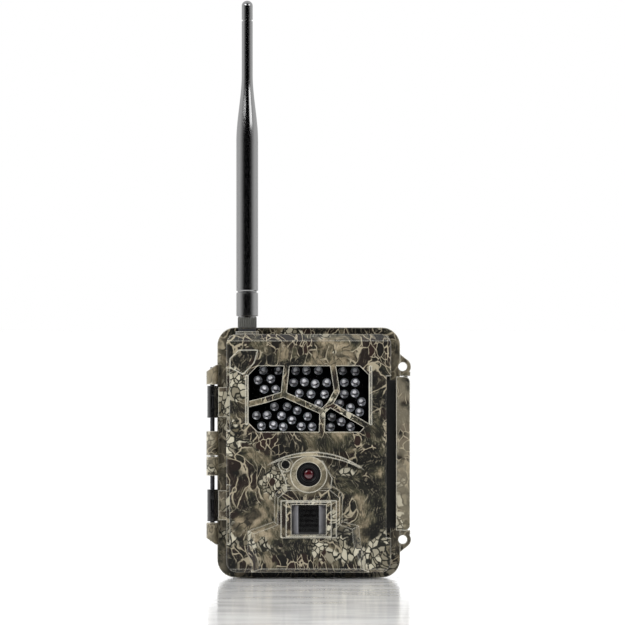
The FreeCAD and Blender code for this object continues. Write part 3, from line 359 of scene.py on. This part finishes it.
def quarter_turn(steps):
    """The angles of a quarter turn in equal steps, without the first."""
    return [i / steps * math.pi / 2 for i in range(1, steps + 1)]


def finish_mesh(bm, name):
    """Turns bm into a mesh, smooth but for edges sharper than SHARP_DEGREES."""
    bmesh.ops.recalc_face_normals(bm, faces=bm.faces)
    for face in bm.faces:
        face.smooth = True
    for edge in bm.edges:
        if len(edge.link_faces) == 2 and edge.calc_face_angle() > math.radians(SHARP_DEGREES):
            edge.smooth = False
    mesh = bpy.data.meshes.new(name)
    bm.to_mesh(mesh)
    bm.free()
    return mesh


def turned(name, profile, centre, material, body, slot, axis=Vector((0, 0, 1)), replaced=(),
           **lathe_options):
    """A single turned form as a piece of the object."""
    bm = bmesh.new()
    lathe(bm, profile, centre, axis, **lathe_options)
    return piece(name, finish_mesh(bm, name), material, body, replaced)


def islands(node):
    """The separate solids of a CAD node as lists of vertex places."""
    bm = bmesh.new()
    bm.from_mesh(frame["nodes"][node].data)
    bmesh.ops.remove_doubles(bm, verts=bm.verts, dist=WELD)
    bm.verts.ensure_lookup_table()
    seen, found = set(), []
    for vert in bm.verts:
        if vert.index in seen:
            continue
        stack, members = [vert], []
        seen.add(vert.index)
        while stack:
            one = stack.pop()
            members.append(one.co.copy())
            for edge in one.link_edges:
                other = edge.other_vert(one)
                if other.index not in seen:
                    seen.add(other.index)
                    stack.append(other)
        found.append(members)
    bm.free()
    return found


def extent(points):
    """The lowest and highest corner of a set of points."""
    low = Vector(min(p[i] for p in points) for i in range(3))
    high = Vector(max(p[i] for p in points) for i in range(3))
    return low, high


# ---------------------------------------------------------------- CAD nodes
def soften(node, width):
    """Rounds a CAD node's hard edges, with modifiers only."""
    obj = frame["nodes"][node]
    weld = obj.modifiers.new("weld", "WELD")
    weld.merge_threshold = WELD
    bevel = obj.modifiers.new("round", "BEVEL")
    bevel.width = width
    bevel.segments = 2
    bevel.limit_method = "ANGLE"
    bevel.angle_limit = math.radians(30)
    obj.modifiers.new("normals", "WEIGHTED_NORMAL").keep_sharp = True


def dress(materials):
    """Gives each CAD node the material of its slot in the record."""
    slot_of = {s["node"]: s["material_slot"] for s in frame["record"]["subparts"]}
    for name, obj in frame["nodes"].items():
        obj.data.materials.clear()
        obj.data.materials.append(materials[slot_of[name]])


# ---------------------------------------------------------------- pieces
def make_antenna(materials):
    """Whip, tip, sleeve and collar as smooth turned forms in place of the CAD ones."""
    low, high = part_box("antenna_whip")
    axis = Vector(((low.x + high.x) / 2, (low.y + high.y) / 2, 0))
    radius = (high.x - low.x) / 2
    tip_low, tip_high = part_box("antenna_tip")
    thin = (tip_high.x - tip_low.x) / 2
    taper_low, taper_high = low.z + 87.7 * MM, low.z + 126 * MM
    profile = [(0, low.z), (radius * 0.88, low.z), (radius * 0.88, low.z + 0.8 * MM),
               (radius * 0.97, low.z + 0.85 * MM), (radius, low.z + 1.2 * MM), (radius, low.z + 1.6 * MM),
               (radius, taper_low - 10 * MM), (radius, taper_low)]
    steps = 24
    for i in range(1, steps + 1):
        t = i / steps
        ease = t * t * (3 - 2 * t)
        profile.append((radius + (thin - radius) * ease, taper_low + (taper_high - taper_low) * t))
    profile += [(thin, high.z - 0.6 * MM), (thin, high.z - 0.25 * MM), (thin - 0.25 * MM, high.z),
                (0, high.z)]
    turned("whip_sheath", profile, axis, materials["antenna_sheath"], "antenna", "antenna_sheath",
           replaced=["antenna_whip"])

    cap_low = tip_low.z + 0.6 * MM
    profile = [(0, tip_low.z), (2.6 * MM, tip_low.z), (2.6 * MM, cap_low), (thin - 0.3 * MM, cap_low),
               (thin, cap_low + 0.3 * MM), (thin, cap_low + 0.7 * MM), (thin, tip_high.z - 3.3 * MM),
               (thin, tip_high.z - 2.9 * MM)]
    for angle in quarter_turn(8):
        profile.append((thin * math.cos(angle), tip_high.z - 2.9 * MM + 2.9 * MM * math.sin(angle)))
    turned("whip_tip", profile, axis, materials["antenna_sheath"], "antenna", "antenna_sheath",
           replaced=["antenna_tip"])

    low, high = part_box("antenna_sleeve")
    neck = low.z + 1.1 * MM
    profile = [(0, low.z), (5.2 * MM, low.z), (5.2 * MM, neck), (radius - 0.4 * MM, neck),
               (radius, neck + 0.4 * MM), (radius, neck + 0.8 * MM), (radius, high.z - 0.8 * MM),
               (radius, high.z - 0.4 * MM), (radius - 0.4 * MM, high.z), (0, high.z)]
    turned("whip_sleeve", profile, axis, materials["antenna_sheath"], "antenna", "antenna_sheath",
           replaced=["antenna_sleeve"])

    low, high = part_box("antenna_collar")
    outer = (high.x - low.x) / 2
    bore = 3.2 * MM
    profile = [(bore, low.z), (outer - 0.5 * MM, low.z), (outer, low.z + 0.5 * MM),
               (outer, high.z - 0.6 * MM), (outer - 0.6 * MM, high.z), (4.5 * MM, high.z),
               (4.5 * MM, high.z - 1.2 * MM), (bore, high.z - 1.2 * MM), (bore, low.z)]
    turned("coupling_nut", profile, axis, materials["collar_black"], "antenna_nut", "collar_black",
           replaced=["antenna_collar"], segments=192, flutes=24, flute_depth=0.45 * MM)


def make_leds(materials):
    """Each emitter: a clear dome over a silver cup, with a chip and post painted near white as painted
    highlights, and a dark gap.
    """
    domes, cups, chips, gaps = bmesh.new(), bmesh.new(), bmesh.new(), bmesh.new()
    front = Vector((0, -1, 0))
    for number, points in enumerate(islands("infrared_leds")):
        low, high = extent(points)
        centre = Vector(((low.x + high.x) / 2, high.y, (low.z + high.z) / 2))
        radius = (high.x - low.x) / 2
        depth = high.y - low.y
        shell = [(0, 0), (radius, 0), (radius, depth - radius)]
        for angle in quarter_turn(8):
            shell.append((radius * math.cos(angle), depth - radius + radius * math.sin(angle)))
        lathe(domes, shell, centre, front, segments=28)
        cup = [(0, 1.9 * MM), (0.6 * MM, 1.9 * MM), (1.3 * MM, 2.7 * MM), (2.1 * MM, 2.9 * MM),
               (2.2 * MM, 0.9 * MM)]
        lathe(cups, cup, centre, front, segments=20)
        turn = Matrix.Rotation(math.radians(20 - 14 * (number % 4)), 3, "Y")
        # Painted highlight: the chip and post are real parts, painted near white where the dome's glints
        # fall.
        chip = centre + turn @ Vector((-0.1, -2.6, 0.45)) * MM
        lathe(chips, [(0.75 * MM, 0), (0.6 * MM, 0.3 * MM), (0, 0.42 * MM)], chip, front, segments=14)
        post = centre + turn @ Vector((-0.75, -2.8, -1.1)) * MM
        lathe(chips, [(0.5 * MM, 0), (0.4 * MM, 0.2 * MM), (0, 0.28 * MM)], post, front, segments=14)
        for vert in bmesh.ops.create_cube(gaps, size=1)["verts"]:
            local = Vector((vert.co.x * 1.9 + 0.35, vert.co.y * 0.3, vert.co.z * 0.4 - 0.42)) * MM
            vert.co = centre + Vector((0, -3.0 * MM, 0)) + turn @ local
    piece("emitter_domes", finish_mesh(domes, "emitter_domes"), materials["emitter_epoxy"], "door",
          ["infrared_leds"])
    piece("emitter_cups", finish_mesh(cups, "emitter_cups"), materials["emitter_cup"], "door")
    piece("emitter_chips", finish_mesh(chips, "emitter_chips"), materials["emitter_chip"], "door")
    piece("emitter_gaps", finish_mesh(gaps, "emitter_gaps"), materials["component_black"], "door")


def make_lens(materials):
    """The lens head with its stepped mouth, retaining ring and coated glass."""
    low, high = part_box("lens_barrel")
    centre = Vector(((low.x + high.x) / 2, high.y, (low.z + high.z) / 2))
    front = Vector((0, -1, 0))
    depth = high.y - low.y
    radius = (high.x - low.x) / 2
    thread, bore = 6 * MM, 3.2 * MM
    profile = [(bore, 0), (thread, 0), (thread, depth - 5.6 * MM), (radius, depth - 5.6 * MM),
               (radius, depth - 0.5 * MM), (radius - 0.5 * MM, depth), (radius - 1.5 * MM, depth),
               (radius - 1.7 * MM, depth - 0.5 * MM), (radius - 2.4 * MM, depth - 0.6 * MM),
               (radius - 2.6 * MM, depth - 1.1 * MM), (3.9 * MM, depth - 1.3 * MM),
               (3.3 * MM, depth - 2.0 * MM), (3.22 * MM, depth - 2.2 * MM), (bore, 0)]
    turned("lens_head", profile, centre, materials["lens_black"], "door", "mask_black", front,
           ["lens_barrel"], segments=96)

    low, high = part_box("lens_glass")
    centre.y = high.y
    radius = (high.x - low.x) / 2
    depth = high.y - low.y
    profile = [(0, 0), (radius, 0), (radius, depth * 0.5)]
    for angle in quarter_turn(12):
        profile.append((radius * math.cos(angle), depth * (0.5 + 0.5 * math.sin(angle))))
    middle = centre + front * depth
    turned("front_element", profile, centre, coated_lens(middle), "door", "lens_glass", front,
           ["lens_glass"])


def make_springs(materials):
    """Battery springs as wound conical wire."""
    bm = bmesh.new()
    wire, turns, steps = 0.35 * MM, 3.4, 24
    for points in islands("battery_springs"):
        low, high = extent(points)
        centre = Vector(((low.x + high.x) / 2, (low.y + high.y) / 2, low.z + wire))
        rise = high.z - low.z - 2 * wire
        base = (high.x - low.x) / 2 - wire
        rings = []
        count = int(turns * steps)
        for i in range(count + 1):
            t = i / count
            angle = 2 * math.pi * turns * t
            radius = base + (1.7 * MM - base) * t
            out = Vector((math.cos(angle), math.sin(angle), 0))
            spot = centre + out * radius + Vector((0, 0, rise * t))
            ring = []
            for k in range(8):
                around = 2 * math.pi * k / 8
                up = Vector((0, 0, math.sin(around)))
                ring.append(bm.verts.new(spot + (out * math.cos(around) + up) * wire))
            rings.append(ring)
        for a, b in zip(rings, rings[1:]):
            for k in range(8):
                bm.faces.new((a[k], a[(k + 1) % 8], b[(k + 1) % 8], b[k]))
        bm.faces.new(rings[0])
        bm.faces.new(rings[-1])
    piece("wound_springs", finish_mesh(bm, "wound_springs"), materials["bright_steel"], "rear",
          ["battery_springs"])


def make_cells(materials):
    """AA cells: a plain jacket with rolled ends, and the metal cap and base."""
    jackets, ends = bmesh.new(), bmesh.new()
    for points in islands("aa_cells"):
        low, high = extent(points)
        radius = (high.x - low.x) / 2
        length = high.z - low.z
        near_top = [p for p in points if p.z > high.z - 0.1 * MM]
        upright = max(p.x for p in near_top) - min(p.x for p in near_top) < radius
        centre = Vector(((low.x + high.x) / 2, (low.y + high.y) / 2, low.z if upright else high.z))
        axis = Vector((0, 0, 1 if upright else -1))
        body = length - 1 * MM
        jacket = [(radius - 1.1 * MM, 0.1 * MM), (radius - 0.4 * MM, 0), (radius, 0.5 * MM), (radius, 1 * MM),
                  (radius, body - 1.1 * MM), (radius, body - 0.6 * MM), (radius - 0.4 * MM, body - 0.1 * MM),
                  (radius - 1.2 * MM, body)]
        lathe(jackets, jacket, centre, axis, segments=40)
        base = [(0, 0.05 * MM), (radius - 1.2 * MM, 0.05 * MM), (radius - 1.1 * MM, 0.3 * MM)]
        cap = [(radius - 1.2 * MM, body - 0.2 * MM), (3.2 * MM, body - 0.1 * MM), (2.75 * MM, body),
               (2.65 * MM, length - 0.2 * MM), (2.4 * MM, length), (0, length)]
        lathe(ends, base, centre, axis, segments=40)
        lathe(ends, cap, centre, axis, segments=40)
    piece("cell_jackets", finish_mesh(jackets, "cell_jackets"), materials["cell_jacket"], "rear",
          ["aa_cells"])
    piece("cell_ends", finish_mesh(ends, "cell_ends"), materials["bright_steel"], "rear")


def make_button_marks(materials):
    """A small raised arrow, disc or bar on each button."""
    turns = {"up": 0, "right": 90, "down": 180, "left": 270}
    for name in ("up", "down", "left", "right", "ok", "menu"):
        low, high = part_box(f"button_{name}")
        centre = Vector(((low.x + high.x) / 2, high.y, (low.z + high.z) / 2))
        bm = bmesh.new()
        if name in turns:
            outline = [(-1.1, -0.7), (1.1, -0.7), (0, 1.1)]
        elif name == "ok":
            outline = [(math.cos(a * math.pi / 8), math.sin(a * math.pi / 8)) for a in range(16)]
        else:
            outline = [(-1.2, -0.8), (1.2, -0.8), (1.2, 0.8), (-1.2, 0.8)]
        spin = math.radians(turns.get(name, 0))
        cos, sin = math.cos(spin), math.sin(spin)
        spots = [Vector((x * cos + z * sin, 0, z * cos - x * sin)) * MM for x, z in outline]
        bottom = [bm.verts.new(centre + p + Vector((0, -0.05 * MM, 0))) for p in spots]
        top = [bm.verts.new(centre + p * 0.85 + Vector((0, 0.12 * MM, 0))) for p in spots]
        bm.faces.new(bottom)
        bm.faces.new(top)
        for i in range(len(spots)):
            j = (i + 1) % len(spots)
            bm.faces.new((bottom[i], bottom[j], top[j], top[i]))
        piece(f"mark_{name}", finish_mesh(bm, f"mark_{name}"), materials["mark_white"], f"button_{name}")


# ---------------------------------------------------------------- stage
def make_stage():
    """A wide pale floor that ends a little way in front and turns matt towards there."""
    middle = FLOOR_RADIUS - FLOOR_FRONT
    bpy.ops.mesh.primitive_circle_add(vertices=96, radius=FLOOR_RADIUS, fill_type="NGON",
                                      location=(0, middle, -FLOOR_DROP))
    floor = bpy.context.object
    floor.name = "studio_floor"
    s = Shade("pale_floor", (0.96, 0.96, 0.96), 0.1, IOR=1.45)
    s.set("Roughness", s.step(s.noise(s.place(), 0.02, 3), 0.3, 0.7, 0.08, 0.12))
    about_object = s.place(shift=(0, MM_PER_METRE * middle, 0))
    from_object = s.node("VectorMath", {0: about_object}, operation="LENGTH").outputs["Value"]
    s.set("Specular IOR Level", s.step(from_object, 0, 900, 0.62, 0.04))
    floor.data.materials.append(s.material)


def make_light():
    """A white room, dark in front of the object and bright at its sides, and two soft boxes."""
    world = bpy.data.worlds.new("studio")
    bpy.context.scene.world = world
    world.use_nodes = True
    nodes, links = world.node_tree.nodes, world.node_tree.links
    background = nodes["Background"]
    background.inputs["Color"].default_value = (1, 1, 1, 1)
    direction = nodes.new("ShaderNodeTexCoord").outputs["Generated"]
    split = nodes.new("ShaderNodeSeparateXYZ")
    links.new(direction, split.inputs[0])
    spread = nodes.new("ShaderNodeMapRange")
    for socket, value in (("From Min", -1.0), ("From Max", 1.0), ("To Min", 0.0), ("To Max", 1.0)):
        spread.inputs[socket].default_value = value
    links.new(split.outputs["Y"], spread.inputs["Value"])
    curve = nodes.new("ShaderNodeFloatCurve")
    points = curve.mapping.curves[0].points
    points[0].location, points[1].location = (0, 0), (1, 0.75)
    for place in ((0.05, 0), (0.12, 0.08), (0.22, 0.34), (0.35, 0.62), (0.5, 0.85), (0.7, 0.85)):
        points.new(*place)
    curve.mapping.update()
    links.new(spread.outputs[0], curve.inputs["Value"])
    strength = nodes.new("ShaderNodeMath")
    strength.operation = "MULTIPLY"
    strength.inputs[1].default_value = ROOM_STRENGTH
    links.new(curve.outputs[0], strength.inputs[0])
    seen = nodes.new("ShaderNodeLightPath")
    choose = nodes.new("ShaderNodeMix")
    links.new(seen.outputs["Is Camera Ray"], choose.inputs["Factor"])
    links.new(strength.outputs[0], choose.inputs["A"])
    choose.inputs["B"].default_value = 1.0
    links.new(choose.outputs["Result"], background.inputs["Strength"])

    def softbox(name, place, target, size, power):
        data = bpy.data.lights.new(name, "AREA")
        data.shape = "RECTANGLE"
        data.size, data.size_y = size
        data.energy = power
        light = bpy.data.objects.new(name, data)
        bpy.context.scene.collection.objects.link(light)
        light.location = place
        aim = Vector(target) - Vector(place)
        light.rotation_euler = aim.to_track_quat("-Z", "Y").to_euler()

    softbox("key", (-1.2, -1.5, 1.3), (0, 0, 0.1), (1.2, 1.0), 24)
    softbox("fill", (1.4, -1.4, 1.1), (0, 0, 0.1), (1.2, 1.0), 12)


def make_camera():
    """Square-on to the front and far off, with a square view_width metres wide at the case's joint."""
    data = bpy.data.cameras.new("camera")
    distance, view_width = 6.0, 0.3625
    data.sensor_width = 36
    data.lens = data.sensor_width * distance / view_width
    data.clip_start, data.clip_end = 0.1, 200
    camera = bpy.data.objects.new("camera", data)
    bpy.context.scene.collection.objects.link(camera)
    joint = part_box("front_cover")[1].y
    camera.location = (2.2 * MM, joint - distance, 153.7 * MM)
    camera.rotation_euler = (math.pi / 2, 0, 0)
    bpy.context.scene.camera = camera


def make_materials():
    """The material of each slot in the record, and a few that only Blender pieces use."""
    low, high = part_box("lens_barrel")
    lens_mouth = ((low.x + high.x) / 2, low.y, (low.z + high.z) / 2)
    return {
        "camo_shell": camo(lens_mouth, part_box("rear_base")[1].z / MM),
        "bracket_plastic": moulded("bracket_plastic", (0.012, 0.012, 0.011), 0.55, depth=0.4),
        "gloss_black": moulded("gloss_black", (0.004, 0.004, 0.004), 0.14, depth=0.03, coat=0.8),
        "window_pane": clear("window_pane", (0.95, 0.95, 0.95), 0.0),
        "emitter_epoxy": clear("emitter_epoxy", (0.97, 0.97, 1.0), 0.02, 1.45),
        "emitter_cup": moulded("emitter_cup", (0.26, 0.27, 0.29), 0.3),
        # Near white: a painted highlight on each emitter's chip and post.
        "emitter_chip": moulded("emitter_chip", (0.97, 0.97, 0.98), 0.3),
        "mask_black": moulded("mask_black", (0.0006, 0.0006, 0.0006), 0.9, specular=0.02),
        "lens_black": moulded("lens_black", (0.002, 0.002, 0.0025), 0.34, depth=0.1, specular=0.3),
        "lens_glass": clear("lens_glass", (0.9, 0.45, 0.45), 0.0, 1.6),
        "circuit_board": circuit_board(),
        "component_black": moulded("component_black", (0.008, 0.008, 0.008), 0.5),
        "bright_steel": metal("bright_steel", (0.62, 0.62, 0.63), 0.28),
        "dark_steel": metal("dark_steel", (0.06, 0.06, 0.065), 0.38),
        "brass": metal("brass", (0.78, 0.58, 0.27), 0.26),
        "filter_glass": clear("filter_glass", (0.55, 0.8, 0.85), 0.0, 1.5),
        "display_glass": moulded("display_glass", (0.004, 0.005, 0.008), 0.1, depth=0.02, coat=1.0),
        "rubber_black": moulded("rubber_black", (0.010, 0.010, 0.010), 0.7, depth=0.5),
        "collar_black": moulded("collar_black", (0.060, 0.060, 0.052), 0.42),
        "antenna_sheath": moulded("antenna_sheath", (0.0008, 0.0008, 0.001), 0.12, grain=2.4, depth=0.03,
                                  specular=1.0, ior=2.05),
        "button_rubber": moulded("button_rubber", (0.045, 0.046, 0.05), 0.6),
        "slider_plastic": moulded("slider_plastic", (0.5, 0.09, 0.02), 0.45),
        "card_plastic": moulded("card_plastic", (0.02, 0.035, 0.10), 0.4),
        "cell_jacket": moulded("cell_jacket", (0.02, 0.022, 0.026), 0.25, depth=0.05, coat=0.4),
        "mark_white": moulded("mark_white", (0.65, 0.65, 0.65), 0.5),
    }


make_camera()
make_stage()
make_light()
library = make_materials()
dress(library)
frame["nodes"]["pir_window"].data.materials[0] = sensor_window()
frame["nodes"]["hinge_pins"].data.materials[0] = library["dark_steel"]
for node, width in (("front_cover", 0.4), ("rear_housing", 0.4), ("tree_bracket", 0.35), ("latch", 0.6),
                    ("latch_catch", 0.3), ("hinge_barrel_upper", 0.4), ("hinge_barrel_lower", 0.4),
                    ("pir_window", 1.0), ("inner_plate", 0.3), ("mode_slider", 0.3), ("battery_tray", 0.3),
                    ("dc_port_cover", 0.3)):
    soften(node, width * MM)
make_antenna(library)
make_leds(library)
make_lens(library)
make_springs(library)
make_cells(library)
make_button_marks(library)
bpy.context.scene.view_settings.view_transform = "Standard"
